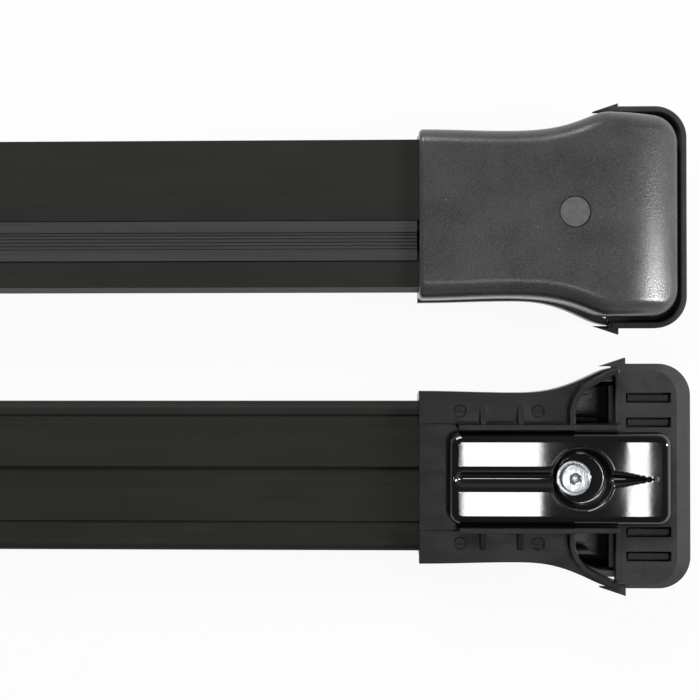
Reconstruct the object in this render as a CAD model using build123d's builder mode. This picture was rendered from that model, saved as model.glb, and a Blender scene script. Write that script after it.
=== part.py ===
from build123d import *

import os

# A pair of roof crossbars, in millimetres with +Z up. Bar A stands right way up on its
# feet. Bar B lies upside down beside it. Each foot is drawn once in its own frame: u runs
# outward along the bar from the mouth of the sleeve, v runs across the bar, z runs up from
# the ground. Four turned copies of that foot make the pair.

# Layout of the pair
bar_spacing = 122.0
bar_length = 980.0
foot_insert = 62.0
mouth_x = bar_length / 2 - foot_insert

# Heights in the foot frame
channel_floor_z = 11.0
bar_bottom_z = 14.0
split_z = 17.0
foot_top_z = 46.0

# Extruded bar
bar_height = 28.0
bar_bottom_width = 71.0
bar_top_width = 68.0
bar_bottom_radius = 4.0
bar_top_radius = 8.0
bar_wall = 2.4
bar_seat_gap = 0.2

# Slot along the bar for accessories
slot_edge = 21.4
slot_v = slot_edge - bar_top_width / 2
recess_width = 19.0
recess_depth = 2.2
lip_thickness = 2.2
slot_mouth = 11.0
chamber_width = 21.0
chamber_height = 8.0
cell_radius = 2.8

# Lines along the underside of the bar
center_groove_width = 9.0
center_groove_depth = 2.0
side_groove_edge = 10.5
side_groove_v = bar_bottom_width / 2 - side_groove_edge
side_groove_width = 8.0
side_groove_depth = 1.0
groove_floor = center_groove_depth + bar_wall

# Rubber strip in the slot
strip_end_gap = 1.0
strip_side_gap = 0.4
strip_proud = 0.6
strip_tread_width = 8.0
strip_tread_depth = 0.9
strip_ridge_pitch = 1.6
strip_ridge_width = 0.7
strip_ridge_height = 0.45
strip_ridges = 5
leg_thickness = 1.8
leg_gap = 0.3
leg_length = 4.0
barb_width = 1.2
barb_height = 1.2

# Cover of the foot
cover_side = [(0.0, 39.3), (43.0, 38.4), (58.0, 39.2), (71.0, 42.0), (79.0, 45.0)]
cover_half_width = 47.2
cover_widest_u = 88.0
cover_end_u = 122.0
cover_corner_radius = 13.0
roof_flat_u = 76.0
nose_z = 28.8
cover_edge_radius = 8.0
mouth_edge_radius = 2.0
cover_wall = 3.0
roof_thickness = 3.8
cavity_u = 60.0
cavity_edge_radius = 4.0
rib_thickness = 1.6
rib_height = 18.0
inner_rib_u, inner_rib_v, inner_rib_length = 78.0, 26.0, 14.0
outer_rib_u, outer_rib_v, outer_rib_length = 78.0, 37.0, 8.0

# Bolt, nut and plug share one axis
bolt_u = 71.0
bolt_radius = 4.0
bolt_length = 35.0
bolt_head_radius = 6.5
bolt_head_height = 5.0
bolt_head_edge = 0.6
socket_flats = 5.0
socket_depth = 3.0
washer_radius = 8.0
washer_bore_radius = 4.2
washer_thickness = 1.6
nut_flats = 13.0
nut_turn = 30.0
nut_height = 6.5
nut_bore_gap = 0.05
nut_pocket_gap = 0.15
plug_radius = 6.95
plug_thickness = 1.2
plug_sunk = 0.2
plug_gap = 0.3
plug_stem_radius = 5.0
plug_stem_length = 2.6
plug_stem_gap = 0.1

# Base of the foot
base_side = [(0.0, 40.0), (43.0, 39.2), (58.0, 40.0), (70.0, 43.2), (80.0, 47.6), (86.0, 50.0)]
base_end_u = 91.0
base_end_half_width = 51.0
tray_bottom_z = 9.0
tray_step_v = 24.8
channel_wall = 2.4
channel_start_u = 18.0
skirt_bottom_z = 2.0
window = [(71.0, 24.8), (71.0, 31.0), (72.4, 35.6), (76.2, 40.6), (86.5, 46.6), (91.0, 48.2)]
gusset_u = [29.5, 46.7]
gusset_thickness = 2.6
gusset_v = 33.6
gusset_bottom_z = 3.0
boss_length = 16.4
boss_width = 20.0
nut_floor_z = 14.0
bolt_hole_radius = 4.6
end_plate_u = 116.0
end_plate_half_width = 42.5
end_plate_thickness = 4.5

# Screws from the base into the bar
screw_u = [18.9, 55.0]
screw_edge = 4.9
screw_v = bar_bottom_width / 2 - screw_edge
screw_head_radius = 2.6
screw_head_height = 1.9
screw_radius = 1.5
screw_length = 8.0
screw_pocket_gap = 0.25
screw_hole_gap = 0.1
slot_cut_width = 0.9
slot_cut_depth = 0.8

# Rubber pad that sits on the roof rail
pad_bottom_z = 11.5
pad_plate = 4.0
pad_bulge_z = 17.5
pad_top_z = 24.0
pad_start_u = 91.0
pad_side_overhang = 5.4
pad_end_overhang = 5.0
pad_half_width = cover_half_width + pad_side_overhang
pad_end_u = cover_end_u + pad_end_overhang
pad_radius = 15.0
pad_side_flare = 3.0
pad_end_flare = 7.6
pad_bottom_half_width = pad_half_width - pad_side_flare
pad_bottom_end_u = pad_end_u - pad_end_flare
pad_bottom_radius = 12.0
lip_width = 2.8
lip_edge_radius = 0.8
band_groove_z = 20.0
band_groove_height = 1.0
band_groove_depth = 0.8
pad_slot_u = 106.3
pad_slot_length = 20.8
pad_slot_width = 4.7
pad_slot_v = [25.4, 36.8]
tab_gap = 0.9
tab_sunk = 0.8
bead_width = 1.8
bead_height = 1.0
bead_v = [25.5, 47.5]
ear_root = pad_half_width - 1.2
ear_tip = pad_half_width + 2.8
ear_tip_u = 96.0
ear = [
    (84.0, ear_root),
    (ear_tip_u, ear_tip),
    (ear_tip_u, pad_half_width - 2.6),
    (pad_start_u, pad_half_width - 3.6),
    (pad_start_u, ear_root),
]
ear_bottom_z = 13.0
ear_height = 4.0

# Pressed steel clamp under the foot, with its rubber liner
clamp_bottom_z = 0.8
clamp_depth = 8.0
clamp_start_u = 13.2
clamp_end_u = 114.7
clamp_half_width = 21.3
clamp_corner_radius = 6.0
clamp_edge_radius = 4.0
clamp_sheet = 2.5
bowl_u = 74.0
bowl_radius = 14.5
bowl_floor_radius = 11.6
bowl_depth = 7.0
clamp_hole_radius = 4.6
groove_width = 11.0
groove_depth = 3.0
groove_floor_width = 6.0
groove_flare = 0.6
spear_tip_u = 108.0
spear_depth = 2.1
liner_start_u = 72.0
liner_overhang = 0.8
liner_thickness = 1.8
liner_bowl_gap = 0.6

# Derived sizes
bar_top_z = bar_bottom_z + bar_height
clamp_top_z = clamp_bottom_z + clamp_depth
bowl_floor_z = clamp_bottom_z + bowl_depth
washer_bottom_z = bowl_floor_z - washer_thickness
screw_places = [(u, side * screw_v) for u in screw_u for side in (-1, 1)]
far = 200.0

# Where the four feet stand: the sleeve mouth, then the turn about X, Y or Z
foot_places = {
    "a_right": Location((mouth_x, bar_spacing / 2, 0)),
    "a_left": Location((-mouth_x, bar_spacing / 2, 0), (0, 0, 180)),
    "b_right": Location((mouth_x, -bar_spacing / 2, foot_top_z), (180, 0, 0)),
    "b_left": Location((-mouth_x, -bar_spacing / 2, foot_top_z), (0, 180, 0)),
}
bar_places = {
    "a": Location((0, bar_spacing / 2, 0)),
    "b": Location((0, -bar_spacing / 2, foot_top_z), (180, 0, 0)),
}


def bar_outline(gap):
    """Outer section of the bar, drawn flat: wider at the bottom, rounder at the top."""
    bottom = bar_bottom_width / 2
    top = bar_top_width / 2
    with BuildSketch() as section:
        with BuildLine():
            Polyline(
                (-bottom, bar_bottom_z),
                (bottom, bar_bottom_z),
                (top, bar_top_z),
                (-top, bar_top_z),
                close=True,
            )
        make_face()
        corners = section.vertices().sort_by(Axis.Y)
        fillet(corners[:2], bar_bottom_radius)
        fillet(corners[2:], bar_top_radius)
        if gap:
            offset(amount=gap)
    return section.sketch


def half_outline(points, widest_u, half_width, end_u, corner_radius, inset):
    """Plan seen from above: a smooth side, a straight run and a rounded outer corner."""
    side_points = [(u, v - inset) for u, v in points] + [(widest_u, half_width - inset)]
    with BuildSketch() as plan:
        with BuildLine():
            side = Spline(*side_points, tangents=((1, 0), (1, 0)))
            run = Line(side @ 1, (end_u - corner_radius, half_width - inset))
            corner_end = (end_u - inset, half_width - corner_radius)
            corner = TangentArc(run @ 1, corner_end, tangent=(1, 0))
            end = Line(corner @ 1, (end_u - inset, 0))
            Line(end @ 1, (side_points[0][0], 0))
            Line((side_points[0][0], 0), side @ 0)
        make_face()
        mirror(about=Plane.XZ)
    return plan.sketch


def cover_shell(inset, roof_drop, edge_radius):
    """The plan pulled up and cut by the side view, with every upper edge rounded."""
    with BuildPart() as shell:
        with BuildSketch(Plane.XY.offset(split_z)):
            add(
                half_outline(
                    cover_side,
                    cover_widest_u,
                    cover_half_width,
                    cover_end_u,
                    cover_corner_radius,
                    inset,
                )
            )
        extrude(amount=foot_top_z - split_z)
        with BuildSketch(Plane.XZ):
            with BuildLine():
                roof = Line((0, foot_top_z - roof_drop), (roof_flat_u, foot_top_z - roof_drop))
                nose_end = (cover_end_u, nose_z - roof_drop)
                nose = TangentArc(roof @ 1, nose_end, tangent=(1, 0))
                Polyline(nose @ 1, (cover_end_u, split_z), (0, split_z), roof @ 0)
            make_face()
        extrude(amount=far, both=True, mode=Mode.INTERSECT)
        roof_faces = shell.faces().filter_by(lambda f: f.normal_at().Z > 0.3)
        rims = roof_faces.edges().filter_by(
            lambda e: abs(e.center().Y) > 1 or e.center().X > roof_flat_u + 1
        )
        fillet(rims, edge_radius)
    return shell.part


def pad_outline(half_width, end_u, radius):
    """Plan of the pad: square at the inner edge, round at the outer corners."""
    with BuildSketch() as plan:
        with Locations(((pad_start_u + end_u) / 2, 0)):
            Rectangle(end_u - pad_start_u, 2 * half_width)
        fillet(plan.vertices().group_by(Axis.X)[-1], radius)
    return plan.sketch


def clamp_pan(inset, edge_radius):
    """A rounded block whose lower edge is rolled: the outside or the inside of the pressing."""
    length = clamp_end_u - clamp_start_u - 2 * inset
    with BuildPart() as pan:
        with BuildSketch(Plane.XY.offset(clamp_bottom_z + inset)):
            with Locations(((clamp_start_u + clamp_end_u) / 2, 0)):
                RectangleRounded(
                    length, 2 * (clamp_half_width - inset), clamp_corner_radius - inset
                )
        extrude(amount=clamp_depth - inset)
        fillet(pan.faces().sort_by(Axis.Z)[0].edges(), edge_radius)
    return pan.part


def clamp_relief(grow):
    """The pressed-in groove, spear and bowl, grown by the sheet thickness for the back side."""
    floor_half = groove_floor_width / 2 + grow * groove_flare
    with BuildPart() as relief:
        with BuildSketch(Plane.YZ.offset(clamp_start_u + clamp_corner_radius - grow)):
            with BuildLine():
                Polyline(
                    (-groove_width / 2 - grow * groove_flare, clamp_bottom_z),
                    (groove_width / 2 + grow * groove_flare, clamp_bottom_z),
                    (floor_half, clamp_bottom_z + groove_depth + grow),
                    (-floor_half, clamp_bottom_z + groove_depth + grow),
                    close=True,
                )
            make_face()
        extrude(amount=bowl_u - clamp_start_u - clamp_corner_radius + grow)
        with BuildSketch(Plane.XY.offset(clamp_bottom_z)):
            with Locations((bowl_u, 0)):
                Circle(bowl_radius + grow)
        with BuildSketch(Plane.XY.offset(bowl_floor_z + grow)):
            with Locations((bowl_u, 0)):
                Circle(bowl_floor_radius + grow)
        loft()
        with BuildSketch(Plane.XY.offset(clamp_bottom_z)):
            with BuildLine():
                Polyline(
                    (bowl_u, -groove_width / 2 - grow * groove_flare),
                    (spear_tip_u + grow, 0),
                    (bowl_u, groove_width / 2 + grow * groove_flare),
                    close=True,
                )
            make_face()
        extrude(amount=spear_depth + grow)
    return relief.part


# Bar: one extrusion with three closed cells, a slot in the top and lines along the bottom
with BuildPart() as bar:
    with BuildSketch(Plane.YZ):
        add(bar_outline(0))
        with Locations((slot_v, bar_top_z - recess_depth / 2)):
            Rectangle(recess_width, recess_depth, mode=Mode.SUBTRACT)
        with Locations((slot_v, bar_top_z - recess_depth - lip_thickness / 2)):
            Rectangle(slot_mouth, lip_thickness, mode=Mode.SUBTRACT)
        chamber_top_z = bar_top_z - recess_depth - lip_thickness
        with Locations((slot_v, chamber_top_z - chamber_height / 2)):
            Rectangle(chamber_width, chamber_height, mode=Mode.SUBTRACT)
        with Locations((0, bar_bottom_z + center_groove_depth / 2)):
            Rectangle(center_groove_width, center_groove_depth, mode=Mode.SUBTRACT)
        with Locations(
            (side_groove_v, bar_bottom_z + side_groove_depth / 2),
            (-side_groove_v, bar_bottom_z + side_groove_depth / 2),
        ):
            Rectangle(side_groove_width, side_groove_depth, mode=Mode.SUBTRACT)
        # Closed cells: in front of the slot, under the slot and behind the slot
        slot_front = slot_v - chamber_width / 2 - bar_wall
        slot_back = slot_v + chamber_width / 2 + bar_wall
        cell_floor = bar_bottom_z + groove_floor
        cell_roof = bar_top_z - bar_wall
        outer_side = bar_top_width / 2 - bar_wall
        under_roof = chamber_top_z - chamber_height - bar_wall
        cells = [
            (-outer_side, slot_front, cell_roof),
            (slot_v - chamber_width / 2, slot_v + chamber_width / 2, under_roof),
            (slot_back, outer_side, cell_roof),
        ]
        for left, right, roof_z in cells:
            with Locations(((left + right) / 2, (cell_floor + roof_z) / 2)):
                RectangleRounded(
                    right - left, roof_z - cell_floor, cell_radius, mode=Mode.SUBTRACT
                )
    extrude(amount=bar_length / 2, both=True)
    with BuildSketch(Plane.XY.offset(bar_bottom_z)):
        with Locations(*[(end * (mouth_x + u), v) for end in (-1, 1) for u, v in screw_places]):
            Circle(screw_radius + screw_hole_gap)
    extrude(amount=groove_floor + cell_radius, mode=Mode.SUBTRACT)

# Strip: a ribbed cap that fills the recess, held by two barbed legs under the slot's lips
with BuildPart() as strip:
    cap_width = recess_width - 2 * strip_side_gap
    cap_bottom_z = bar_top_z - recess_depth
    cap_top_z = bar_top_z + strip_proud
    leg_outer = slot_mouth / 2 - leg_gap
    barb_z = cap_bottom_z - lip_thickness - leg_gap
    with BuildSketch(Plane.YZ):
        with Locations((slot_v, (cap_bottom_z + cap_top_z) / 2)):
            Rectangle(cap_width, cap_top_z - cap_bottom_z)
        with Locations((slot_v, cap_top_z - strip_tread_depth / 2)):
            Rectangle(strip_tread_width, strip_tread_depth, mode=Mode.SUBTRACT)
        with Locations((slot_v, cap_top_z - strip_tread_depth + strip_ridge_height / 2)):
            with GridLocations(strip_ridge_pitch, 0, strip_ridges, 1):
                Rectangle(strip_ridge_width, strip_ridge_height)
        for side in (-1, 1):
            with BuildLine():
                Polyline(
                    (slot_v + side * leg_outer, cap_bottom_z),
                    (slot_v + side * leg_outer, barb_z),
                    (slot_v + side * (leg_outer + barb_width), barb_z),
                    (slot_v + side * leg_outer, barb_z - barb_height),
                    (slot_v + side * (leg_outer - leg_thickness), cap_bottom_z - leg_length),
                    (slot_v + side * (leg_outer - leg_thickness), cap_bottom_z),
                    close=True,
                )
            make_face()
    extrude(amount=mouth_x - strip_end_gap, both=True)

# Cover: the shell over the end of the bar, hollow beyond the bar's end
with BuildPart() as cover:
    add(cover_shell(0, 0, cover_edge_radius))
    with BuildPart(mode=Mode.PRIVATE) as cavity:
        add(cover_shell(cover_wall, roof_thickness, cavity_edge_radius))
        split(bisect_by=Plane.YZ.offset(cavity_u), keep=Keep.TOP)
    add(cavity.part, mode=Mode.SUBTRACT)
    with BuildSketch(Plane.YZ):
        add(bar_outline(bar_seat_gap))
    extrude(amount=foot_insert + bar_seat_gap, mode=Mode.SUBTRACT)
    with BuildSketch(Plane.XY.offset(foot_top_z - roof_thickness)):
        with Locations((inner_rib_u, inner_rib_v), (inner_rib_u, -inner_rib_v)):
            Rectangle(inner_rib_length, rib_thickness)
        with Locations((outer_rib_u, outer_rib_v), (outer_rib_u, -outer_rib_v)):
            Rectangle(outer_rib_length, rib_thickness)
    extrude(amount=-rib_height)
    with Locations((bolt_u, 0, foot_top_z)):
        CounterBoreHole(
            radius=plug_stem_radius + plug_stem_gap,
            counter_bore_radius=plug_radius + plug_gap,
            counter_bore_depth=plug_sunk + plug_thickness,
            depth=roof_thickness + plug_thickness,
        )
    mouth_rim = cover.edges().filter_by(lambda e: e.center().X < 0.01 and e.center().Z > split_z + 1)
    roof_rim = mouth_rim.filter_by(lambda e: e.center().Z > bar_top_z + bar_seat_gap + 1)
    fillet(roof_rim, mouth_edge_radius)

# Plug: a flush disc over the bolt's end, pushed into the roof by its stem
with BuildPart() as plug:
    plug_top_z = foot_top_z - plug_sunk
    with BuildSketch(Plane.XY.offset(plug_top_z - plug_thickness)):
        with Locations((bolt_u, 0)):
            Circle(plug_radius)
    extrude(amount=plug_thickness)
    with BuildSketch(Plane.XY.offset(plug_top_z - plug_thickness)):
        with Locations((bolt_u, 0)):
            Circle(plug_stem_radius)
    extrude(amount=-plug_stem_length)

# Base: the tray under the bar, the clamp's channel, two windows and the plate over the pad
with BuildPart() as base:
    with BuildSketch(Plane.XY.offset(tray_bottom_z)):
        with BuildLine():
            base_curve = Spline(
                *base_side, (base_end_u, base_end_half_width), tangents=((1, 0), (1, 0.2))
            )
            Polyline(base_curve @ 1, (base_end_u, 0), (0, 0), base_curve @ 0)
        make_face()
        mirror(about=Plane.XZ)
    extrude(amount=split_z - tray_bottom_z)
    # The channel between the trays is one step higher
    with BuildSketch(Plane.XY.offset(tray_bottom_z)):
        with Locations((base_end_u / 2, 0)):
            Rectangle(base_end_u, 2 * tray_step_v)
    extrude(amount=channel_floor_z - tray_bottom_z, mode=Mode.SUBTRACT)
    # Skirt around each window, then the window itself
    with BuildSketch(Plane.XY.offset(skirt_bottom_z)):
        with BuildLine():
            Polyline(*window, (base_end_u, window[0][1]), close=True)
        make_face()
        offset(amount=channel_wall, kind=Kind.INTERSECTION)
        mirror(about=Plane.XZ)
        with Locations((base_end_u + far / 2, 0)):
            Rectangle(far, far, mode=Mode.SUBTRACT)
    extrude(amount=tray_bottom_z - skirt_bottom_z)
    with BuildSketch():
        with BuildLine():
            Polyline(*window, (base_end_u, window[0][1]), close=True)
        make_face()
        mirror(about=Plane.XZ)
    extrude(amount=split_z, mode=Mode.SUBTRACT)
    # Channel walls on both sides of the clamp, stiffened by gussets
    channel_end_u = window[0][0]
    with BuildSketch():
        with Locations(
            ((channel_start_u + channel_end_u) / 2, tray_step_v - channel_wall / 2),
            ((channel_start_u + channel_end_u) / 2, -tray_step_v + channel_wall / 2),
        ):
            Rectangle(channel_end_u - channel_start_u, channel_wall)
    extrude(amount=channel_floor_z)
    for u in gusset_u:
        for side in (-1, 1):
            with BuildSketch(Plane.YZ.offset(u - gusset_thickness / 2)):
                with BuildLine():
                    Polyline(
                        (side * (tray_step_v - channel_wall), gusset_bottom_z),
                        (side * tray_step_v, gusset_bottom_z),
                        (side * gusset_v, tray_bottom_z),
                        (side * (tray_step_v - channel_wall), tray_bottom_z),
                        close=True,
                    )
                make_face()
            extrude(amount=gusset_thickness)
    # Seat of the bar
    with BuildSketch(Plane.YZ):
        with Locations((0, bar_bottom_z + bar_height / 2)):
            Rectangle(bar_bottom_width + 2 * bar_seat_gap, bar_height)
    extrude(amount=foot_insert + bar_seat_gap, mode=Mode.SUBTRACT)
    # Boss that holds the nut
    with BuildSketch(Plane.XY.offset(channel_floor_z)):
        with Locations((bolt_u, 0)):
            Rectangle(boss_length, boss_width)
    extrude(amount=nut_floor_z + nut_height - channel_floor_z)
    with BuildSketch(Plane.XY.offset(nut_floor_z)):
        with Locations((bolt_u, 0)):
            RegularPolygon(
                nut_flats / 2 + nut_pocket_gap, 6, major_radius=False, rotation=nut_turn
            )
    extrude(amount=nut_height, mode=Mode.SUBTRACT)
    with BuildSketch(Plane.XY.offset(channel_floor_z)):
        with Locations((bolt_u, 0)):
            Circle(bolt_hole_radius)
    extrude(amount=nut_floor_z - channel_floor_z, mode=Mode.SUBTRACT)
    # Plate over the pad, with four tabs that reach down through the pad's slots
    with BuildSketch(Plane.XY.offset(pad_bottom_z + pad_plate)) as end_plate:
        with Locations(((base_end_u - channel_wall + end_plate_u) / 2, 0)):
            Rectangle(end_plate_u - base_end_u + channel_wall, 2 * end_plate_half_width)
        fillet(end_plate.vertices().group_by(Axis.X)[-1], cover_corner_radius - cover_wall)
    extrude(amount=end_plate_thickness)
    with BuildSketch(Plane.XY.offset(pad_bottom_z + pad_plate)):
        with Locations(*[(pad_slot_u, side * v) for v in pad_slot_v for side in (-1, 1)]):
            Rectangle(pad_slot_length - 2 * tab_gap, pad_slot_width - 2 * tab_gap)
    extrude(amount=tab_sunk - pad_plate)
    # Pockets for the screws into the bar
    with BuildSketch(Plane.XY.offset(tray_bottom_z)):
        with Locations(*screw_places):
            Circle(screw_head_radius + screw_pocket_gap)
    extrude(amount=screw_head_height, mode=Mode.SUBTRACT)
    with BuildSketch(Plane.XY.offset(tray_bottom_z)):
        with Locations(*screw_places):
            Circle(screw_radius + screw_hole_gap)
    extrude(amount=bar_bottom_z - tray_bottom_z, mode=Mode.SUBTRACT)

# Screws: one group of four in each foot
with BuildPart() as bar_screws:
    seat_z = tray_bottom_z + screw_head_height
    with BuildSketch(Plane.XY.offset(seat_z)):
        with Locations(*screw_places):
            Circle(screw_head_radius)
    extrude(amount=-screw_head_height + bar_seat_gap)
    with BuildSketch(Plane.XY.offset(seat_z)):
        with Locations(*screw_places):
            Circle(screw_radius)
    extrude(amount=screw_length)
    with BuildSketch(Plane.XY.offset(tray_bottom_z + bar_seat_gap)):
        with Locations(*screw_places):
            Rectangle(2 * screw_head_radius, slot_cut_width)
    extrude(amount=slot_cut_depth, mode=Mode.SUBTRACT)

# Rail pad: a rubber tray with a raised lip around the cover's nose
with BuildPart() as rail_pad:
    with BuildSketch(Plane.XY.offset(pad_bottom_z)):
        add(pad_outline(pad_bottom_half_width, pad_bottom_end_u, pad_bottom_radius))
    with BuildSketch(Plane.XY.offset(pad_bulge_z)):
        add(pad_outline(pad_half_width, pad_end_u, pad_radius))
    loft()
    with BuildSketch(Plane.XY.offset(pad_bulge_z)):
        add(pad_outline(pad_half_width, pad_end_u, pad_radius))
    extrude(amount=pad_top_z - pad_bulge_z)
    with BuildSketch(Plane.XY.offset(pad_bottom_z + pad_plate)):
        add(pad_outline(pad_half_width - lip_width, pad_end_u - lip_width, pad_radius - lip_width))
    extrude(amount=pad_top_z - pad_bottom_z, mode=Mode.SUBTRACT)
    fillet(rail_pad.faces().sort_by(Axis.Z)[-1].edges(), lip_edge_radius)
    # Groove that parts the outer wall into two bands
    with BuildSketch(Plane.XY.offset(band_groove_z)):
        add(pad_outline(pad_half_width + band_groove_depth, pad_end_u + band_groove_depth, pad_radius))
        add(
            pad_outline(
                pad_half_width - band_groove_depth,
                pad_end_u - band_groove_depth,
                pad_radius - band_groove_depth,
            ),
            mode=Mode.SUBTRACT,
        )
    extrude(amount=band_groove_height, mode=Mode.SUBTRACT)
    with BuildSketch(Plane.XY.offset(pad_bottom_z)):
        with Locations(*[(pad_slot_u, side * v) for v in pad_slot_v for side in (-1, 1)]):
            Rectangle(pad_slot_length, pad_slot_width)
    extrude(amount=pad_plate, mode=Mode.SUBTRACT)
    # Bead along the inner edge
    with BuildSketch(Plane.XY.offset(pad_bottom_z)):
        for side in (-1, 1):
            with Locations((pad_start_u + bead_width / 2, side * sum(bead_v) / 2)):
                Rectangle(bead_width, bead_v[1] - bead_v[0])
    extrude(amount=-bead_height)
    with BuildSketch(Plane.XY.offset(ear_bottom_z)):
        with BuildLine():
            Polyline(*ear, close=True)
        make_face()
        mirror(about=Plane.XZ)
    extrude(amount=ear_height)

# Clamp: a pressed steel pan with a groove along it and a bowl for the bolt's head
with BuildPart() as clamp:
    add(clamp_pan(0, clamp_edge_radius))
    add(clamp_pan(clamp_sheet, clamp_edge_radius - clamp_sheet), mode=Mode.SUBTRACT)
    add(clamp_relief(clamp_sheet))
    add(clamp_relief(0), mode=Mode.SUBTRACT)
    with BuildSketch():
        with Locations((bolt_u, 0)):
            Circle(clamp_hole_radius)
    extrude(amount=far, mode=Mode.SUBTRACT)

# Liner: rubber on the jaw end of the clamp, open around the bowl
with BuildPart() as clamp_liner:
    with BuildSketch(Plane.XY.offset(clamp_top_z)) as liner_plan:
        liner_end_u = clamp_end_u + liner_overhang
        with Locations(((liner_start_u + liner_end_u) / 2, 0)):
            Rectangle(liner_end_u - liner_start_u, 2 * (clamp_half_width + liner_overhang))
        fillet(liner_plan.vertices().group_by(Axis.X)[-1], clamp_corner_radius)
        with Locations((bowl_u, 0)):
            Circle(bowl_radius + clamp_sheet + liner_bowl_gap, mode=Mode.SUBTRACT)
    extrude(amount=liner_thickness)

# Bolt: low cylinder head with a hexagon socket, its head sunk in the clamp's bowl
with BuildPart() as clamp_bolt:
    with BuildSketch(Plane.XY.offset(washer_bottom_z)):
        with Locations((bolt_u, 0)):
            Circle(bolt_head_radius)
    extrude(amount=-bolt_head_height)
    fillet(clamp_bolt.edges().sort_by(Axis.Z)[0], bolt_head_edge)
    with BuildSketch(Plane.XY.offset(washer_bottom_z)):
        with Locations((bolt_u, 0)):
            Circle(bolt_radius)
    extrude(amount=bolt_length)
    chamfer(clamp_bolt.edges().sort_by(Axis.Z)[-1], bolt_head_edge)
    with BuildSketch(Plane.XY.offset(washer_bottom_z - bolt_head_height)):
        with Locations((bolt_u, 0)):
            RegularPolygon(socket_flats / 2, 6, major_radius=False)
    extrude(amount=socket_depth, mode=Mode.SUBTRACT)

with BuildPart() as washer:
    with BuildSketch(Plane.XY.offset(washer_bottom_z)):
        with Locations((bolt_u, 0)):
            Circle(washer_radius)
            Circle(washer_bore_radius, mode=Mode.SUBTRACT)
    extrude(amount=washer_thickness)

with BuildPart() as clamp_nut:
    with BuildSketch(Plane.XY.offset(nut_floor_z)):
        with Locations((bolt_u, 0)):
            RegularPolygon(nut_flats / 2, 6, major_radius=False, rotation=nut_turn)
            Circle(bolt_radius + nut_bore_gap, mode=Mode.SUBTRACT)
    extrude(amount=nut_height)

bar_pieces = {"bar": bar, "strip": strip}
foot_pieces = {
    "base": base,
    "cover": cover,
    "plug": plug,
    "rail_pad": rail_pad,
    "clamp": clamp,
    "clamp_liner": clamp_liner,
    "clamp_bolt": clamp_bolt,
    "washer": washer,
    "clamp_nut": clamp_nut,
    "bar_screws": bar_screws,
}

os.makedirs("parts", exist_ok=True)
for places, pieces in ((bar_places, bar_pieces), (foot_places, foot_pieces)):
    for place, location in places.items():
        for piece, builder in pieces.items():
            node = location * builder.part
            node.label = f"{place}_{piece}"
            export_step(node, f"parts/{node.label}.step")
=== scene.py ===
from math import radians

import bmesh
import bpy
import numpy as np
from mathutils import Matrix, Vector


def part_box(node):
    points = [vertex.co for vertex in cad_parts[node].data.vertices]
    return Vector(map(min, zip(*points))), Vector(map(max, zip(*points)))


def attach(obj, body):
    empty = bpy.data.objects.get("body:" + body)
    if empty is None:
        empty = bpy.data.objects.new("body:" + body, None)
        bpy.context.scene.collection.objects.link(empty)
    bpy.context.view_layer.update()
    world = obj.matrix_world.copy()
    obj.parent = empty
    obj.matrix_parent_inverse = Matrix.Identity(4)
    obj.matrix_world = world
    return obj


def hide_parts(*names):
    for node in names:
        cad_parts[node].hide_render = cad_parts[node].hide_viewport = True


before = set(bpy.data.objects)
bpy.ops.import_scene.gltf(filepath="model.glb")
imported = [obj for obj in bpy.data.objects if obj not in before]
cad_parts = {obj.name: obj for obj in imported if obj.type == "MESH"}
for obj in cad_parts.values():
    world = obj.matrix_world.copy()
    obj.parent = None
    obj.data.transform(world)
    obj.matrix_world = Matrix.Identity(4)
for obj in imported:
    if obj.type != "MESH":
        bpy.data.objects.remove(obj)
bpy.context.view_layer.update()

bl_info = {
    "name": "Roof crossbars",
    "version": (1, 0, 0),
    "blender": (4, 5, 0),
    "location": "View3D > Sidebar > Crossbars",
    "description": "Finishes a pair of roof crossbars around its packed model",
    "category": "Object",
}

# The foot is worked out in its own frame, in millimetres: u runs outward along the bar from
# the mouth of the sleeve, v runs across the bar and z runs up from the ground.
MM = 0.001
FEET = ("a_right", "a_left", "b_right", "b_left")
FOOT_TOP = 46.0
BOLT_U = 71.0
CLAMP_SPAN = (13.2, 114.7)
CLAMP_HALF_WIDTH = 21.3
CLAMP_CORNER = 6.0
CLAMP_FACE_Z = 0.8
CLAMP_RIM_Z = 8.8
BOWL_U = 74.0
BOLT_FACE_Z = 1.2
BOLT_SEAT_Z = 6.2
BOLT_TIP_Z = 41.2
WASHER_Z = (6.2, 7.8)
WASHER_RADII = (4.2, 8.0)
PLUG_RADIUS = 6.95
PLUG_STEM = 5.0
PLUG_DOME = 0.12

# The stage, in metres and degrees: the camera's place, the lamps and the greys of the sky by height
CAMERA_LENS = 61.7
CAMERA_DISTANCE = 0.5717
CAMERA_MIDDLE = (0.3956, -0.0018, 0.023)
CAMERA_TURN = (1.53, 0.37, -0.05)
OVERHEAD_HEIGHT = 1.2
OVERHEAD_Y = -0.183
OVERHEAD_RADIANCE = 14.5
SIDE_RADIANCE = 120.0
BACK_RADIANCE = 11.0
FLOOR_WHITE = 0.94
SKY_GREYS = ((0.0, 1.0), (0.1, 0.8), (0.22, 0.4), (0.5, 0.1))


def place_in_model(points, foot):
    """Carries points from the foot's own frame to the model's, in metres.

    The bar's middle, the sleeve's mouth and the cover's top fix the place, and each axis keeps
    or turns its sign, so every foot is a turned copy and never a mirrored one.
    """
    low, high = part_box(f"{foot}_cover")
    bar_low, bar_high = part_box(f"{foot[0]}_bar")
    out = 1.0 if foot.endswith("right") else -1.0
    up = 1.0 if foot.startswith("a") else -1.0
    mouth_x = low.x if out > 0 else high.x
    ground_z = high.z - FOOT_TOP * MM if up > 0 else low.z + FOOT_TOP * MM
    origin = np.array([mouth_x, (bar_low.y + bar_high.y) / 2, ground_z])
    return origin + np.array([out, out * up, up]) * np.asarray(points) * MM


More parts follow.
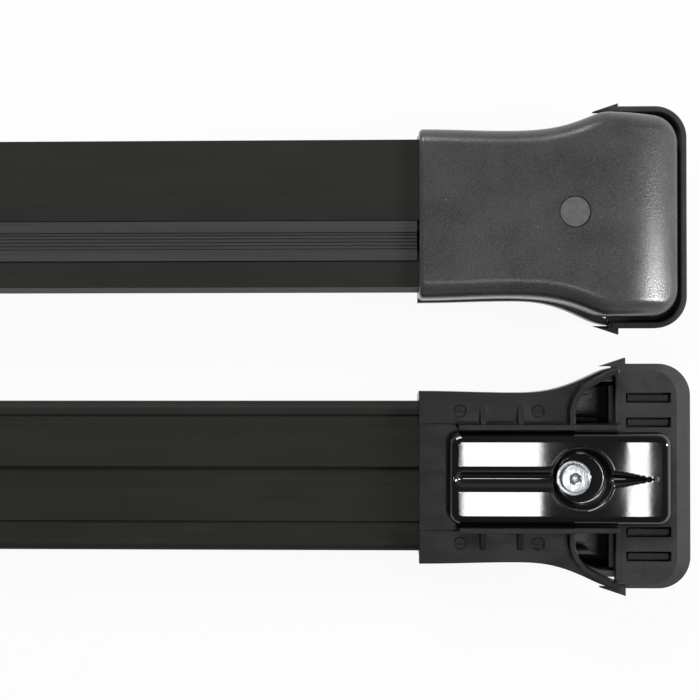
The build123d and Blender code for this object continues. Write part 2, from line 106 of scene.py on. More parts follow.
def grid_quads(rows, columns, first, ring_rows, ring_columns):
    """Corner numbers of the quads of a grid, closed into a ring along either way if asked."""
    index = first + np.arange(rows * columns).reshape(rows, columns)
    if ring_rows:
        index = np.vstack([index, index[:1]])
    if ring_columns:
        index = np.hstack([index, index[:, :1]])
    corners = [index[:-1, :-1], index[1:, :-1], index[1:, 1:], index[:-1, 1:]]
    return np.stack(corners, axis=-1).reshape(-1, 4)


def make_piece(name, foot, grids, body, node, material, sharp=35.0, drop=None):
    """Joins grids of points in the foot's frame into one mesh object that stands for a node.

    Each grid is (points, ring along rows, ring along columns). Points that meet are merged, so
    the seams close, and edges sharper than the given angle stay crisp.
    """
    points, quads, first = [], [], 0
    for grid, ring_rows, ring_columns in grids:
        rows, columns = grid.shape[:2]
        points.append(grid.reshape(-1, 3))
        quads.append(grid_quads(rows, columns, first, ring_rows, ring_columns))
        first += rows * columns
    points, quads = np.concatenate(points), np.concatenate(quads)
    if drop is not None:
        quads = quads[~drop(points[quads].mean(axis=1))]
    mesh = bpy.data.meshes.new(name)
    mesh.from_pydata(place_in_model(points, foot).tolist(), [], quads.tolist())
    work = bmesh.new()
    work.from_mesh(mesh)
    bmesh.ops.remove_doubles(work, verts=work.verts, dist=1e-6)
    bmesh.ops.dissolve_degenerate(work, edges=work.edges, dist=1e-7)
    loose = [v for v in work.verts if not v.link_faces]
    bmesh.ops.delete(work, geom=loose, context="VERTS")
    if all(len(e.link_faces) == 2 for e in work.edges):
        bmesh.ops.recalc_face_normals(work, faces=work.faces)
    work.to_mesh(mesh)
    work.free()
    mesh.polygons.foreach_set("use_smooth", np.ones(len(mesh.polygons), dtype=bool))
    mesh.set_sharp_from_angle(angle=radians(sharp))
    mesh.update()
    piece = bpy.data.objects.new(name, mesh)
    bpy.context.scene.collection.objects.link(piece)
    piece.data.materials.append(material)
    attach(piece, body)
    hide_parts(node)
    return piece


def smooth_step(value):
    """Rises from 0 to 1 with level ends: 6t^5 - 15t^4 + 10t^3."""
    t = np.clip(value, 0.0, 1.0)
    return t * t * t * (t * (6.0 * t - 15.0) + 10.0)


def turned(profile, count=72, u=BOLT_U):
    """A surface of revolution: a closed profile of (radius, height) carried round the bolt's axis."""
    profile = np.asarray(profile, dtype=float)
    angle = np.linspace(0.0, 2.0 * np.pi, count, endpoint=False)
    radius, height = profile[:, :1], profile[:, 1:]
    heights = np.broadcast_to(height, (len(profile), count))
    return np.stack([u + radius * np.cos(angle), radius * np.sin(angle), heights], axis=-1)


def rounded_corner(center, radius, start, end, count=7):
    """Points of an arc in a profile, from one angle to another in degrees."""
    angle = np.radians(np.linspace(start, end, count))
    return np.stack([center[0] + radius * np.cos(angle), center[1] + radius * np.sin(angle)], axis=-1)


def clamp_depth(u, v, sizes):
    """How far the sheet is pressed in at each point, in millimetres.

    A groove with a cosine section runs to a round bowl, and beyond the bowl it narrows to a
    point. Groove and bowl are joined by a fourth-power mean, so the edge between them is soft.
    """
    half = sizes.groove_width / MM / 2
    tip = sizes.spear_tip / MM
    narrowing = np.clip((tip - u) / (tip - BOWL_U - 4.0), 0.0, 1.0)
    width = np.maximum(half * narrowing, 1e-3)
    start = smooth_step((u - CLAMP_SPAN[0] - 1.0) / 6.0)
    across = 0.5 * (1.0 + np.cos(np.pi * np.clip(v / width, -1.0, 1.0)))
    groove = sizes.groove_depth / MM * start * narrowing**0.5 * across
    reach = np.hypot(u - BOWL_U, v)
    rim, floor = sizes.bowl_radius / MM, sizes.bowl_floor / MM
    bowl = sizes.bowl_depth / MM * smooth_step((rim - reach) / (rim - floor))
    return np.minimum((groove**4 + bowl**4) ** 0.25, sizes.bowl_depth / MM)


def clamp_grids(sizes):
    """The outside of the pressed clamp as two grids in the foot's frame.

    The middle is a flat grid. Round it a band follows the edge of the middle outward: level
    first, then down a quarter circle, then straight up the side. The pressed relief lifts both.
    """
    low_u, high_u = CLAMP_SPAN[0] + CLAMP_CORNER, CLAMP_SPAN[1] - CLAMP_CORNER
    half_v = CLAMP_HALF_WIDTH - CLAMP_CORNER
    us, vs = np.linspace(low_u, high_u, 181), np.linspace(-half_v, half_v, 63)
    core_u, core_v = np.meshgrid(us, vs, indexing="ij")
    core = np.stack([core_u, core_v, CLAMP_FACE_Z + clamp_depth(core_u, core_v, sizes)], axis=-1)

    fan = np.radians(np.linspace(0.0, 90.0, 11))
    sides = (
        (np.full_like(vs, high_u), vs, 0.0),
        (us[::-1], np.full_like(us, half_v), 90.0),
        (np.full_like(vs, low_u), vs[::-1], 180.0),
        (us, np.full_like(us, -half_v), 270.0),
    )
    edge_u, edge_v, facing = [], [], []
    for along_u, along_v, turn in sides:
        edge_u += [along_u, np.full_like(fan, along_u[-1])]
        edge_v += [along_v, np.full_like(fan, along_v[-1])]
        facing += [np.full_like(along_u, radians(turn)), radians(turn) + fan]
    edge_u, edge_v, facing = (np.concatenate(x)[:, None] for x in (edge_u, edge_v, facing))

    roll = sizes.clamp_roll / MM
    arc = np.radians(np.linspace(0.0, 90.0, 10))
    level = CLAMP_CORNER - roll
    flat = np.linspace(0.0, level, 4)[:-1]
    reach = np.concatenate([flat, level + roll * np.sin(arc), [CLAMP_CORNER] * 2])
    side = np.linspace(CLAMP_FACE_Z + roll, CLAMP_RIM_Z, 3)[1:]
    height = np.concatenate([np.zeros(3), roll * (1.0 - np.cos(arc)), side - CLAMP_FACE_Z])
    band_u = edge_u + np.cos(facing) * reach
    band_v = edge_v + np.sin(facing) * reach
    fade = 1.0 - smooth_step((reach - level) / roll)
    band_z = CLAMP_FACE_Z + height + fade * clamp_depth(band_u, band_v, sizes)
    band = np.stack([band_u, band_v, band_z], axis=-1)
    return [(core[::-1], False, False), (band, True, False)]


def bolt_grids(sizes):
    """The bolt as one turned grid: socket, head, shank and a thread that climbs round the shank.

    The socket's radius follows a hexagon, flat distance over the cosine of the angle to the
    nearest flat. On the shank the radius dips by the thread's depth as a rounded saw of height
    less one pitch a turn, so the thread is right-handed.
    """
    count = 72
    angle = np.linspace(0.0, 2.0 * np.pi, count, endpoint=False)
    flat = np.mod(angle + np.pi / 6, np.pi / 3) - np.pi / 6
    hexagon = sizes.socket_flats / MM / 2 / np.cos(flat)
    ring = np.ones(count)
    head, shank = sizes.bolt_head / MM, sizes.bolt_shank / MM
    floor_z = BOLT_FACE_Z + 3.0
    edge = rounded_corner((head - 0.6, BOLT_FACE_Z + 0.6), 0.6, -90.0, 0.0)
    rows = [(1e-4 * ring, floor_z + 0.7), (hexagon * 0.98, floor_z), (hexagon, floor_z - 0.2)]
    rows += [(hexagon, BOLT_FACE_Z + 0.35), (hexagon + 0.35, BOLT_FACE_Z)]
    rows += [(radius * ring, z) for radius, z in edge]
    rows += [(head * ring, BOLT_SEAT_Z - 0.25), ((head - 0.25) * ring, BOLT_SEAT_Z)]
    rows += [((shank + 0.15) * ring, BOLT_SEAT_Z), (shank * ring, BOLT_SEAT_Z + 0.3)]
    pitch, depth = sizes.thread_pitch / MM, sizes.thread_depth / MM
    start = BOLT_SEAT_Z + 4.0
    heights = np.arange(start, BOLT_TIP_Z - 0.4, pitch / 8)
    phase = np.mod(heights[:, None] / pitch - angle[None, :] / (2 * np.pi), 1.0)
    saw = np.clip(np.abs(phase - 0.5) * 3.0 - 0.25, 0.0, 1.0)
    fade = smooth_step((heights - start) / pitch)[:, None]
    taper = 0.9 * np.clip((heights - BOLT_TIP_Z + 1.4) / 1.0, 0.0, 1.0)[:, None]
    radii = shank - np.maximum(depth * saw * fade, taper)
    tip = np.array([[(shank - 0.9), BOLT_TIP_Z], [1e-4, BOLT_TIP_Z]])
    radius = np.concatenate([np.array([r for r, _ in rows]), radii, tip[:, :1] * ring])
    z = np.concatenate([[h for _, h in rows], heights, tip[:, 1]])
    z = np.broadcast_to(z[:, None], radius.shape)
    grid = np.stack([BOLT_U + radius * np.cos(angle), radius * np.sin(angle), z], axis=-1)
    return [(grid, False, True)]


def washer_grids():
    """A flat ring with small rounded edges, turned round the bolt's axis."""
    (low, high), (hole, outside) = WASHER_Z, WASHER_RADII
    edge, break_in = 0.3, 0.2
    profile = np.concatenate(
        [
            rounded_corner((outside - edge, low + edge), edge, -90.0, 0.0),
            rounded_corner((outside - edge, high - edge), edge, 0.0, 90.0),
            [(hole + break_in, high), (hole, high - break_in), (hole, low + break_in), (hole + break_in, low)],
        ]
    )
    return [(turned(profile), True, True)]


def plug_grids(sizes):
    """A disc with a rounded rim and a faint dome on a round stem, turned round the bolt's axis."""
    radius, edge, top = PLUG_RADIUS, sizes.plug_edge / MM, FOOT_TOP - 0.2
    seat, end = top - 1.2, top - 3.8
    dome_r = np.linspace(1e-4, radius - edge, 9)
    dome = np.stack([dome_r, top - PLUG_DOME * (dome_r / radius) ** 2], axis=-1)
    rim = rounded_corner((radius - edge, top - PLUG_DOME - edge), edge, 90.0, 0.0)
    stem = [(radius, seat), (PLUG_STEM, seat), (PLUG_STEM, end + 0.3), (PLUG_STEM - 0.4, end), (1e-4, end)]
    return [(turned(np.concatenate([dome, rim, stem])[::-1]), False, True)]


def new_finish(name):
    """An empty material with its output and its shader."""
    material = bpy.data.materials.new(name)
    material.use_nodes = True
    tree = material.node_tree
    tree.nodes.clear()
    output = tree.nodes.new("ShaderNodeOutputMaterial")
    shader = tree.nodes.new("ShaderNodeBsdfPrincipled")
    tree.links.new(shader.outputs["BSDF"], output.inputs["Surface"])
    return material, tree, shader


def object_noise(tree, scale, detail=4.0, roughness=0.55):
    """Noise on object coordinates, with its own scale along each axis in cycles a metre."""
    coordinate = tree.nodes.new("ShaderNodeTexCoord")
    mapping = tree.nodes.new("ShaderNodeMapping")
    mapping.inputs["Scale"].default_value = scale
    noise = tree.nodes.new("ShaderNodeTexNoise")
    noise.inputs["Scale"].default_value = 1.0
    noise.inputs["Detail"].default_value = detail
    noise.inputs["Roughness"].default_value = roughness
    tree.links.new(coordinate.outputs["Object"], mapping.inputs["Vector"])
    tree.links.new(mapping.outputs["Vector"], noise.inputs["Vector"])
    return noise.outputs["Fac"]


def ramp(tree, value, stops):
    """A colour ramp over a value, given as (position, colour) stops."""
    node = tree.nodes.new("ShaderNodeValToRGB")
    elements = node.color_ramp.elements
    while len(elements) < len(stops):
        elements.new(0.5)
    for element, (position, colour) in zip(elements, stops):
        element.position = position
        element.color = colour
    tree.links.new(value, node.inputs["Fac"])
    return node.outputs["Color"]


def spread(tree, value, low, high, start=0.3, end=0.7):
    """Maps a value onto a range of numbers."""
    node = tree.nodes.new("ShaderNodeMapRange")
    for socket, number in (("From Min", start), ("From Max", end), ("To Min", low), ("To Max", high)):
        node.inputs[socket].default_value = number
    tree.links.new(value, node.inputs["Value"])
    return node.outputs["Result"]


def shade(colour, factor):
    """A colour scaled in brightness, with full cover."""
    return (*(channel * factor for channel in colour[:3]), 1.0)


def bump(tree, shader, value, strength, distance, edge=0.0):
    """Relief on the shader's normal from a value, over edges softened by a radius if one is given."""
    node = tree.nodes.new("ShaderNodeBump")
    if edge:
        soft = tree.nodes.new("ShaderNodeBevel")
        soft.inputs["Radius"].default_value = edge
        tree.links.new(soft.outputs["Normal"], node.inputs["Normal"])
    node.inputs["Strength"].default_value = strength
    node.inputs["Distance"].default_value = distance
    tree.links.new(value, node.inputs["Height"])
    tree.links.new(node.outputs["Normal"], shader.inputs["Normal"])


def combine(tree, operation, first, second):
    """One arithmetic step on two values, each a socket or a number."""
    node = tree.nodes.new("ShaderNodeMath")
    node.operation = operation
    for socket, value in zip(node.inputs, (first, second)):
        if isinstance(value, (int, float)):
            socket.default_value = value
        else:
            tree.links.new(value, socket)
    return node.outputs["Value"]


def mingle(tree, first, second, share):
    """Two values added in shares that make one, the first by the given share."""
    rest = combine(tree, "MULTIPLY", second, 1.0 - share)
    return combine(tree, "ADD", combine(tree, "MULTIPLY", first, share), rest)


def coated_bar_finish(colour):
    """Matt coated aluminium: fine drawn lines along the bar over a slow change of tone."""
    material, tree, shader = new_finish("coated_bar")
    lines = object_noise(tree, (2.0, 1400.0, 1400.0), 2.0)
    tone = object_noise(tree, (14.0, 60.0, 60.0), 3.0)
    mixed = mingle(tree, lines, tone, 0.45)
    tint = ramp(tree, mixed, ((0.34, shade(colour, 0.86)), (0.66, shade(colour, 1.14))))
    tree.links.new(tint, shader.inputs["Base Color"])
    tree.links.new(spread(tree, lines, 0.5, 0.62), shader.inputs["Roughness"])
    shader.inputs["Specular IOR Level"].default_value = 0.08
    bump(tree, shader, lines, 0.12, 0.0001, 0.0003)
    return material


def strip_rubber_finish(colour):
    """Extruded rubber: soft streaks along the strip and a dusting of fine grain."""
    material, tree, shader = new_finish("strip_rubber")
    streak = object_noise(tree, (9.0, 500.0, 500.0), 3.0)
    grain = object_noise(tree, (1500.0, 1500.0, 1500.0), 2.0)
    mixed = mingle(tree, streak, grain, 0.6)
    tint = ramp(tree, mixed, ((0.32, shade(colour, 0.78)), (0.68, shade(colour, 1.24))))
    tree.links.new(tint, shader.inputs["Base Color"])
    tree.links.new(spread(tree, grain, 0.6, 0.78), shader.inputs["Roughness"])
    shader.inputs["Specular IOR Level"].default_value = 0.3
    bump(tree, shader, grain, 0.2, 0.0001)
    return material


def grained_cover_finish(colour):
    """Moulded plastic with a fine leathery grain and a few specks of pale dust."""
    material, tree, shader = new_finish("grained_cover")
    grain = object_noise(tree, (1300.0, 1300.0, 1300.0), 3.0, 0.6)
    tone = object_noise(tree, (45.0, 45.0, 45.0), 3.0)
    mixed = mingle(tree, grain, tone, 0.6)
    tint = ramp(tree, mixed, ((0.34, shade(colour, 0.66)), (0.66, shade(colour, 1.36))))
    coordinate = tree.nodes.new("ShaderNodeTexCoord")
    cells = tree.nodes.new("ShaderNodeTexVoronoi")
    cells.inputs["Scale"].default_value = 120.0
    tree.links.new(coordinate.outputs["Object"], cells.inputs["Vector"])
    pick = tree.nodes.new("ShaderNodeSeparateColor")
    tree.links.new(cells.outputs["Color"], pick.inputs["Color"])
    near = combine(tree, "LESS_THAN", cells.outputs["Distance"], 0.04)
    speck = combine(tree, "MULTIPLY", near, combine(tree, "GREATER_THAN", pick.outputs["Red"], 0.82))
    dusted = tree.nodes.new("ShaderNodeMix")
    dusted.data_type = "RGBA"
    dusted.inputs[7].default_value = (0.3, 0.3, 0.31, 1.0)
    tree.links.new(combine(tree, "MULTIPLY", speck, 0.7), dusted.inputs[0])
    tree.links.new(tint, dusted.inputs[6])
    tree.links.new(dusted.outputs[2], shader.inputs["Base Color"])
    tree.links.new(spread(tree, grain, 0.19, 0.28), shader.inputs["Roughness"])
    shader.inputs["Specular IOR Level"].default_value = 0.45
    bump(tree, shader, grain, 0.3, 0.00025)
    return material


def satin_plug_finish(colour):
    """Satin plastic, paler and smoother than the cover round it."""
    material, tree, shader = new_finish("satin_plug")
    tone = object_noise(tree, (400.0, 400.0, 400.0), 4.0)
    tint = ramp(tree, tone, ((0.3, shade(colour, 0.84)), (0.7, shade(colour, 1.16))))
    tree.links.new(tint, shader.inputs["Base Color"])
    tree.links.new(spread(tree, tone, 0.42, 0.56), shader.inputs["Roughness"])
    shader.inputs["Specular IOR Level"].default_value = 0.4
    bump(tree, shader, tone, 0.1, 0.0001)
    return material


def smooth_base_finish(colour):
    """Smooth black plastic with flow marks and a slight waviness."""
    material, tree, shader = new_finish("smooth_base")
    flow = object_noise(tree, (60.0, 130.0, 130.0), 4.0)
    grain = object_noise(tree, (900.0, 900.0, 900.0), 2.0)
    tint = ramp(tree, flow, ((0.3, shade(colour, 0.75)), (0.7, shade(colour, 1.35))))
    tree.links.new(tint, shader.inputs["Base Color"])
    tree.links.new(spread(tree, flow, 0.27, 0.4), shader.inputs["Roughness"])
    shader.inputs["Specular IOR Level"].default_value = 0.34
    bump(tree, shader, grain, 0.1, 0.0001, 0.0006)
    return material


def pad_rubber_finish(colour):
    """Moulded rubber: mottled, with a dry bloom in patches."""
    material, tree, shader = new_finish("pad_rubber")
    mottle = object_noise(tree, (120.0, 120.0, 120.0), 4.0)
    grain = object_noise(tree, (1600.0, 1600.0, 1600.0), 2.0)
    mixed = mingle(tree, mottle, grain, 0.6)
    tint = ramp(tree, mixed, ((0.34, shade(colour, 0.74)), (0.68, shade(colour, 1.28))))
    tree.links.new(tint, shader.inputs["Base Color"])
    tree.links.new(spread(tree, mottle, 0.5, 0.66), shader.inputs["Roughness"])
    shader.inputs["Specular IOR Level"].default_value = 0.1
    bump(tree, shader, grain, 0.2, 0.0001, 0.0004)
    return material


def gloss_paint_finish(colour):
    """Black gloss paint on pressed steel: a clear skin with a faint ripple."""
    material, tree, shader = new_finish("gloss_paint")
    ripple = object_noise(tree, (300.0, 300.0, 300.0), 2.0)
    tone = object_noise(tree, (40.0, 40.0, 40.0), 3.0)
    tint = ramp(tree, tone, ((0.3, shade(colour, 0.7)), (0.7, shade(colour, 1.3))))
    tree.links.new(tint, shader.inputs["Base Color"])
    tree.links.new(spread(tree, tone, 0.03, 0.055), shader.inputs["Roughness"])
    shader.inputs["Specular IOR Level"].default_value = 1.0
    bump(tree, shader, ripple, 0.012, 0.0002)
    return material


def zinc_finish(colour):
    """Bright zinc plate: cloudy, with fine scratches that go with the metal."""
    material, tree, shader = new_finish("bright_zinc")
    cloud = object_noise(tree, (260.0, 260.0, 260.0), 4.0)
    scratch = object_noise(tree, (2600.0, 240.0, 900.0), 3.0)
    tint = ramp(tree, cloud, ((0.3, shade(colour, 0.82)), (0.7, shade(colour, 1.08))))
    tree.links.new(tint, shader.inputs["Base Color"])
    shader.inputs["Metallic"].default_value = 1.0
    tree.links.new(spread(tree, scratch, 0.2, 0.38), shader.inputs["Roughness"])
    bump(tree, shader, scratch, 0.06, 0.0001)
    return material


def pocket_shaded_screw_finish(colour):
    """Steel painted dark as painted shade of the pockets the screws sit in: blotchy, with little shine left.
    """
    material, tree, shader = new_finish("dull_screw")
    blotch = object_noise(tree, (500.0, 500.0, 500.0), 4.0)
    tint = ramp(tree, blotch, ((0.3, shade(colour, 0.6)), (0.7, shade(colour, 1.5))))
    tree.links.new(tint, shader.inputs["Base Color"])
    shader.inputs["Metallic"].default_value = 1.0
    tree.links.new(spread(tree, blotch, 0.34, 0.55), shader.inputs["Roughness"])
    bump(tree, shader, blotch, 0.1, 0.0001)
    return material


FINISHES = {
    "bar": ("coated_bar", coated_bar_finish),
    "strip": ("strip_rubber", strip_rubber_finish),
    "cover": ("grained_cover", grained_cover_finish),
    "plug": ("satin_plug", satin_plug_finish),
    "base": ("smooth_base", smooth_base_finish),
    "pad": ("pad_rubber", pad_rubber_finish),
    "clamp": ("gloss_paint", gloss_paint_finish),
    "zinc": ("bright_zinc", zinc_finish),
    "screw": ("dull_screw", pocket_shaded_screw_finish),
}


def finish(key):
    """The finish of one kind of surface, made from the chosen colour on first use."""
    name, maker = FINISHES[key]
    made = bpy.data.materials.get(name)
    if made and made.get("finished"):
        return made
    if made:
        made.name = f"packed_{name}"
    material = maker(getattr(bpy.context.scene.crossbar_colours, key))
    material["finished"] = True
    return material


def dress(node, key):
    """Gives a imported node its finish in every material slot."""
    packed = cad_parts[node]
    if not packed.material_slots:
        packed.data.materials.append(finish(key))
    for place in packed.material_slots:
        place.material = finish(key)


def soft_box(name, center, target, size, radiance):
    """A rectangular lamp that faces a point, with the same brightness over its whole face."""
    lamp = bpy.data.lights.new(name, "AREA")
    lamp.shape = "RECTANGLE"
    lamp.size, lamp.size_y = size
    lamp.energy = radiance * np.pi * size[0] * size[1]
    box = bpy.data.objects.new(name, lamp)
    aim = (Vector(target) - Vector(center)).normalized()
    across = Vector((1.0, 0.0, 0.0)) if abs(aim.z) > 0.9 else aim.cross(Vector((0.0, 0.0, 1.0))).normalized()
    upward = across.cross(aim).normalized()
    turn = Matrix((across, upward, -aim)).transposed()
    box.matrix_world = Matrix.Translation(center) @ turn.to_4x4()
    bpy.context.scene.collection.objects.link(box)
    return box


class CrossbarSizes(bpy.types.PropertyGroup):
    """Sizes of the formed details, in metres."""

    clamp_roll: bpy.props.FloatProperty(
        name="Clamp edge", description="Radius of the clamp's rolled edge", default=0.004, unit="LENGTH"
    )
    clamp_sheet: bpy.props.FloatProperty(
        name="Clamp sheet", description="Thickness of the clamp's steel", default=0.0025, unit="LENGTH"
    )
    groove_width: bpy.props.FloatProperty(
        name="Groove width",
        description="Width of the groove pressed along the clamp",
        default=0.0116,
        unit="LENGTH",
    )
    groove_depth: bpy.props.FloatProperty(
        name="Groove depth",
        description="Depth of the groove pressed along the clamp",
        default=0.003,
        unit="LENGTH",
    )
    spear_tip: bpy.props.FloatProperty(
        name="Groove end", description="Where the groove comes to a point, from the sleeve's mouth",
        default=0.108, unit="LENGTH",
    )
    bowl_radius: bpy.props.FloatProperty(
        name="Bowl rim",
        description="Radius of the bowl round the bolt's head",
        default=0.0152,
        unit="LENGTH",
    )
    bowl_floor: bpy.props.FloatProperty(
        name="Bowl floor", description="Radius of the bowl's level floor", default=0.0108, unit="LENGTH"
    )
    bowl_depth: bpy.props.FloatProperty(
        name="Bowl depth",
        description="Depth of the bowl round the bolt's head",
        default=0.007,
        unit="LENGTH",
    )
    bolt_head: bpy.props.FloatProperty(
        name="Bolt head", description="Radius of the clamp bolt's head", default=0.0065, unit="LENGTH"
    )
    bolt_shank: bpy.props.FloatProperty(
        name="Bolt shank", description="Radius of the clamp bolt's shank", default=0.004, unit="LENGTH"
    )
    socket_flats: bpy.props.FloatProperty(
        name="Socket",
        description="Distance across the flats of the bolt's socket",
        default=0.005,
        unit="LENGTH",
    )
    thread_pitch: bpy.props.FloatProperty(
        name="Thread pitch",
        description="Rise of the bolt's thread in one turn",
        default=0.00125,
        unit="LENGTH",
        precision=5,
    )
    thread_depth: bpy.props.FloatProperty(
        name="Thread depth",
        description="Depth of the bolt's thread",
        default=0.0006,
        unit="LENGTH",
        precision=5,
    )
    plug_edge: bpy.props.FloatProperty(
        name="Plug edge",
        description="Radius of the plug's rounded rim",
        default=0.0004,
        unit="LENGTH",
        precision=5,
    )
    floor_size: bpy.props.FloatProperty(
        name="Floor", description="Length of the floor's sides", default=60.0, unit="LENGTH"
    )


class CrossbarColours(bpy.types.PropertyGroup):
    """Colours of the finishes."""

    bar: bpy.props.FloatVectorProperty(
        name="Bar", description="Coated aluminium", size=3, subtype="COLOR", default=(0.029, 0.028, 0.026)
    )
    strip: bpy.props.FloatVectorProperty(
        name="Strip",
        description="Rubber strip in the slot",
        size=3,
        subtype="COLOR",
        default=(0.047, 0.0485, 0.0485),
    )
    cover: bpy.props.FloatVectorProperty(
        name="Cover", description="Grained plastic of the covers", size=3, subtype="COLOR",
        default=(0.066, 0.067, 0.067),
    )
    plug: bpy.props.FloatVectorProperty(
        name="Plug",
        description="Satin plastic of the plugs",
        size=3,
        subtype="COLOR",
        default=(0.125, 0.126, 0.126),
    )
    base: bpy.props.FloatVectorProperty(
        name="Base",
        description="Smooth plastic of the bases",
        size=3,
        subtype="COLOR",
        default=(0.009, 0.0092, 0.0095),
    )
    pad: bpy.props.FloatVectorProperty(
        name="Pad",
        description="Rubber of pads and liners",
        size=3,
        subtype="COLOR",
        default=(0.05, 0.0507, 0.052),
    )
    clamp: bpy.props.FloatVectorProperty(
        name="Clamp",
        description="Gloss paint of the clamps",
        size=3,
        subtype="COLOR",
        default=(0.004, 0.004, 0.0042),
    )
    zinc: bpy.props.FloatVectorProperty(
        name="Fasteners", description="Plated steel", size=3, subtype="COLOR", default=(0.66, 0.69, 0.73)
    )
    # The screws' dark colour is painted shade of the pockets they sit in; the screws themselves are bright
    # zinc-plated steel.
    screw: bpy.props.FloatVectorProperty(
        name="Screws",
        description="Dark small screws",
        size=3,
        subtype="COLOR",
        default=(0.05, 0.05, 0.052),
    )
    floor: bpy.props.FloatVectorProperty(
        name="Floor", description="Studio floor", size=3, subtype="COLOR", default=(0.92, 0.92, 0.92)
    )


class CROSSBARS_OT_clamps(bpy.types.Operator):
    """Makes the four pressed clamps from their relief"""

    bl_idname = "crossbars.clamps"
    bl_label = "Clamps"

    def execute(self, context):
        sizes = context.scene.crossbar_sizes
        grids = clamp_grids(sizes)

        def in_hole(centers):
            return np.hypot(centers[:, 0] - BOLT_U, centers[:, 1]) < 4.6

        for foot in FEET:
            piece = make_piece(
                f"{foot}_clamp_pressing", foot, grids, f"{foot}_clamp_body",
                f"{foot}_clamp", finish("clamp"), drop=in_hole,
            )
            wall = piece.modifiers.new("sheet", "SOLIDIFY")
            wall.thickness = sizes.clamp_sheet
            wall.offset = -1.0
        return {"FINISHED"}


class CROSSBARS_OT_bolts(bpy.types.Operator):
    """Makes the four threaded clamp bolts and their washers"""

    bl_idname = "crossbars.bolts"
    bl_label = "Bolts and washers"

    def execute(self, context):
        sizes = context.scene.crossbar_sizes
        for foot in FEET:
            body = f"{foot}_bolt_body"
            make_piece(
                f"{foot}_threaded_bolt", foot, bolt_grids(sizes), body,
                f"{foot}_clamp_bolt", finish("zinc"), sharp=40.0,
            )
            make_piece(
                f"{foot}_turned_washer", foot, washer_grids(), body,
                f"{foot}_washer", finish("zinc"),
            )
        return {"FINISHED"}


class CROSSBARS_OT_plugs(bpy.types.Operator):
    """Makes the four plugs over the bolts' ends"""

    bl_idname = "crossbars.plugs"
    bl_label = "Plugs"

    def execute(self, context):
        sizes = context.scene.crossbar_sizes
        for foot in FEET:
            make_piece(
                f"{foot}_domed_plug", foot, plug_grids(sizes), "frame",
                f"{foot}_plug", finish("plug"),
            )
        return {"FINISHED"}


class CROSSBARS_OT_finishes(bpy.types.Operator):
    """Gives bars, strips, covers, bases, pads, liners, nuts and screws their finishes"""

    bl_idname = "crossbars.finishes"
    bl_label = "Finishes of the packed pieces"

    def execute(self, context):
        for bar in ("a", "b"):
            dress(f"{bar}_bar", "bar")
            dress(f"{bar}_strip", "strip")
        kinds = {
            "base": "base",
            "cover": "cover",
            "plug": "plug",
            "rail_pad": "pad",
            "clamp": "clamp",
            "clamp_liner": "pad",
            "clamp_bolt": "zinc",
            "washer": "zinc",
            "clamp_nut": "zinc",
            "bar_screws": "screw",
        }
        for foot in FEET:
            for piece, key in kinds.items():
                dress(f"{foot}_{piece}", key)
        return {"FINISHED"}


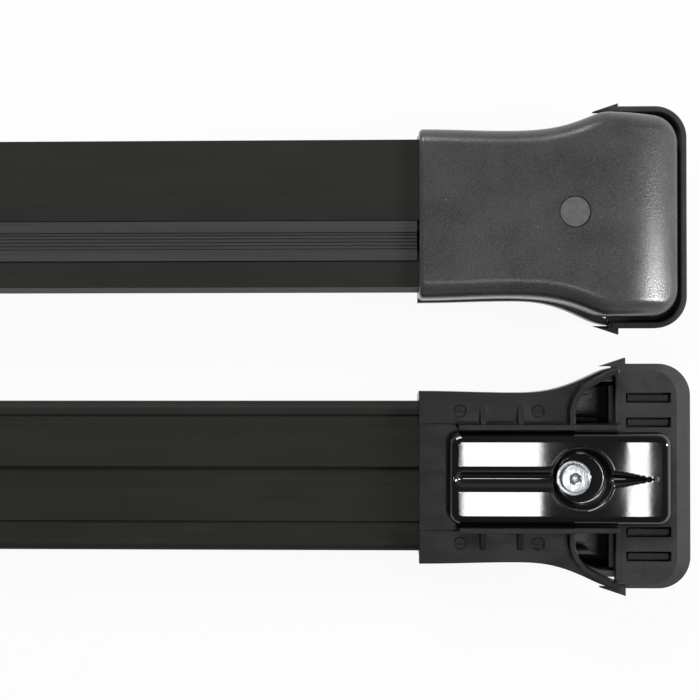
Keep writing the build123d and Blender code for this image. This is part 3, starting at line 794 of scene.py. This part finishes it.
class CROSSBARS_OT_stage(bpy.types.Operator):
    """Sets the floor, the lamps, the surroundings and the camera"""

    bl_idname = "crossbars.stage"
    bl_label = "Stage"

    def execute(self, context):
        self.lay_floor(context)
        self.set_surroundings(context)
        self.hang_lamps()
        self.set_camera(context)
        context.scene.view_settings.view_transform = "Standard"
        return {"FINISHED"}

    def lay_floor(self, context):
        half = context.scene.crossbar_sizes.floor_size / 2
        x, y = np.meshgrid(np.linspace(-half, half, 9), np.linspace(-half, half, 9), indexing="ij")
        points = np.stack([x, y, np.full_like(x, -0.0002)], axis=-1)
        mesh = bpy.data.meshes.new("studio_floor")
        mesh.from_pydata(points.reshape(-1, 3).tolist(), [], grid_quads(9, 9, 0, False, False).tolist())
        floor = bpy.data.objects.new("studio_floor", mesh)
        context.scene.collection.objects.link(floor)
        material = bpy.data.materials.new("studio_floor")
        material.use_nodes = True
        tree = material.node_tree
        tree.nodes.clear()
        output = tree.nodes.new("ShaderNodeOutputMaterial")
        paint = tree.nodes.new("ShaderNodeBsdfDiffuse")
        paint.inputs["Color"].default_value = (*context.scene.crossbar_colours.floor, 1.0)
        glow = tree.nodes.new("ShaderNodeEmission")
        glow.inputs["Strength"].default_value = 1.0
        path = tree.nodes.new("ShaderNodeLightPath")
        seen = combine(tree, "ADD", path.outputs["Is Camera Ray"], path.outputs["Is Glossy Ray"])
        seen = combine(tree, "ADD", seen, path.outputs["Is Transmission Ray"])
        share = combine(tree, "MULTIPLY", combine(tree, "MINIMUM", seen, 1.0), FLOOR_WHITE)
        blend = tree.nodes.new("ShaderNodeMixShader")
        tree.links.new(share, blend.inputs["Fac"])
        tree.links.new(paint.outputs["BSDF"], blend.inputs[1])
        tree.links.new(glow.outputs["Emission"], blend.inputs[2])
        tree.links.new(blend.outputs["Shader"], output.inputs["Surface"])
        mesh.materials.append(material)

    def set_surroundings(self, context):
        world = bpy.data.worlds.new("studio")
        context.scene.world = world
        world.use_nodes = True
        tree = world.node_tree
        tree.nodes.clear()
        output = tree.nodes.new("ShaderNodeOutputWorld")
        background = tree.nodes.new("ShaderNodeBackground")
        coordinate = tree.nodes.new("ShaderNodeTexCoord")
        parts = tree.nodes.new("ShaderNodeSeparateXYZ")
        tree.links.new(coordinate.outputs["Generated"], parts.inputs["Vector"])
        tint = ramp(
            tree,
            parts.outputs["Z"],
            [(height, (grey, grey, grey, 1.0)) for height, grey in SKY_GREYS],
        )
        tree.links.new(tint, background.inputs["Color"])
        behind = spread(tree, parts.outputs["Y"], 0.7, 1.0, -0.8, 0.8)
        tree.links.new(behind, background.inputs["Strength"])
        tree.links.new(background.outputs["Background"], output.inputs["Surface"])

    def hang_lamps(self):
        for name, x, size in (("overhead_box", 0.58, (0.112, 0.15)), ("overhead_strip", 0.773, (0.03, 0.17))):
            above, below = (x, OVERHEAD_Y, OVERHEAD_HEIGHT), (x, OVERHEAD_Y, 0.0)
            soft_box(name, above, below, size, OVERHEAD_RADIANCE)
        soft_box("side_box", (1.83, -0.03, 0.55), (0.53, 0.05, 0.03), (0.12, 0.34), SIDE_RADIANCE)
        soft_box("back_box", (-0.1, 1.5, 1.5), (0.3, 0.0, 0.0), (1.2, 0.8), BACK_RADIANCE)

    def set_camera(self, context):
        lens = bpy.data.cameras.new("photo_view")
        lens.sensor_width = 36.0
        lens.lens = CAMERA_LENS
        lens.clip_start, lens.clip_end = 0.01, 30.0
        camera = bpy.data.objects.new("photo_view", lens)
        yaw, pitch, roll = (radians(angle) for angle in CAMERA_TURN)
        aim = Vector((-np.sin(yaw) * np.cos(pitch), np.sin(pitch), -np.cos(yaw) * np.cos(pitch)))
        across = aim.cross(Vector((0.0, 1.0, 0.0))).normalized()
        upward = across.cross(aim).normalized()
        turn = Matrix((across, upward, -aim)).transposed() @ Matrix.Rotation(roll, 3, "Z")
        place = Vector(CAMERA_MIDDLE) - aim * CAMERA_DISTANCE
        camera.matrix_world = Matrix.Translation(place) @ turn.to_4x4()
        context.scene.collection.objects.link(camera)
        context.scene.camera = camera


class CROSSBARS_PT_pieces(bpy.types.Panel):
    """Lists the pieces, their sizes and their colours"""

    bl_idname = "CROSSBARS_PT_pieces"
    bl_label = "Roof crossbars"
    bl_space_type = "VIEW_3D"
    bl_region_type = "UI"
    bl_category = "Crossbars"

    def draw(self, context):
        for operator in OPERATORS:
            self.layout.operator(operator.bl_idname)
        for group in (context.scene.crossbar_sizes, context.scene.crossbar_colours):
            box = self.layout.box()
            for name in group.__annotations__:
                box.prop(group, name)


OPERATORS = (
    CROSSBARS_OT_finishes,
    CROSSBARS_OT_clamps,
    CROSSBARS_OT_bolts,
    CROSSBARS_OT_plugs,
    CROSSBARS_OT_stage,
)
CLASSES = (CrossbarSizes, CrossbarColours, *OPERATORS, CROSSBARS_PT_pieces)


def register():
    """Adds the classes and the two groups of settings to the scene."""
    for kind in CLASSES:
        bpy.utils.register_class(kind)
    bpy.types.Scene.crossbar_sizes = bpy.props.PointerProperty(type=CrossbarSizes)
    bpy.types.Scene.crossbar_colours = bpy.props.PointerProperty(type=CrossbarColours)


def unregister():
    """Takes the settings and the classes away again."""
    del bpy.types.Scene.crossbar_colours
    del bpy.types.Scene.crossbar_sizes
    for kind in reversed(CLASSES):
        bpy.utils.unregister_class(kind)


def main():
    """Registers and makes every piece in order."""
    register()
    bpy.ops.crossbars.finishes()
    bpy.ops.crossbars.clamps()
    bpy.ops.crossbars.bolts()
    bpy.ops.crossbars.plugs()
    bpy.ops.crossbars.stage()


if __name__ == "__main__":
    main()
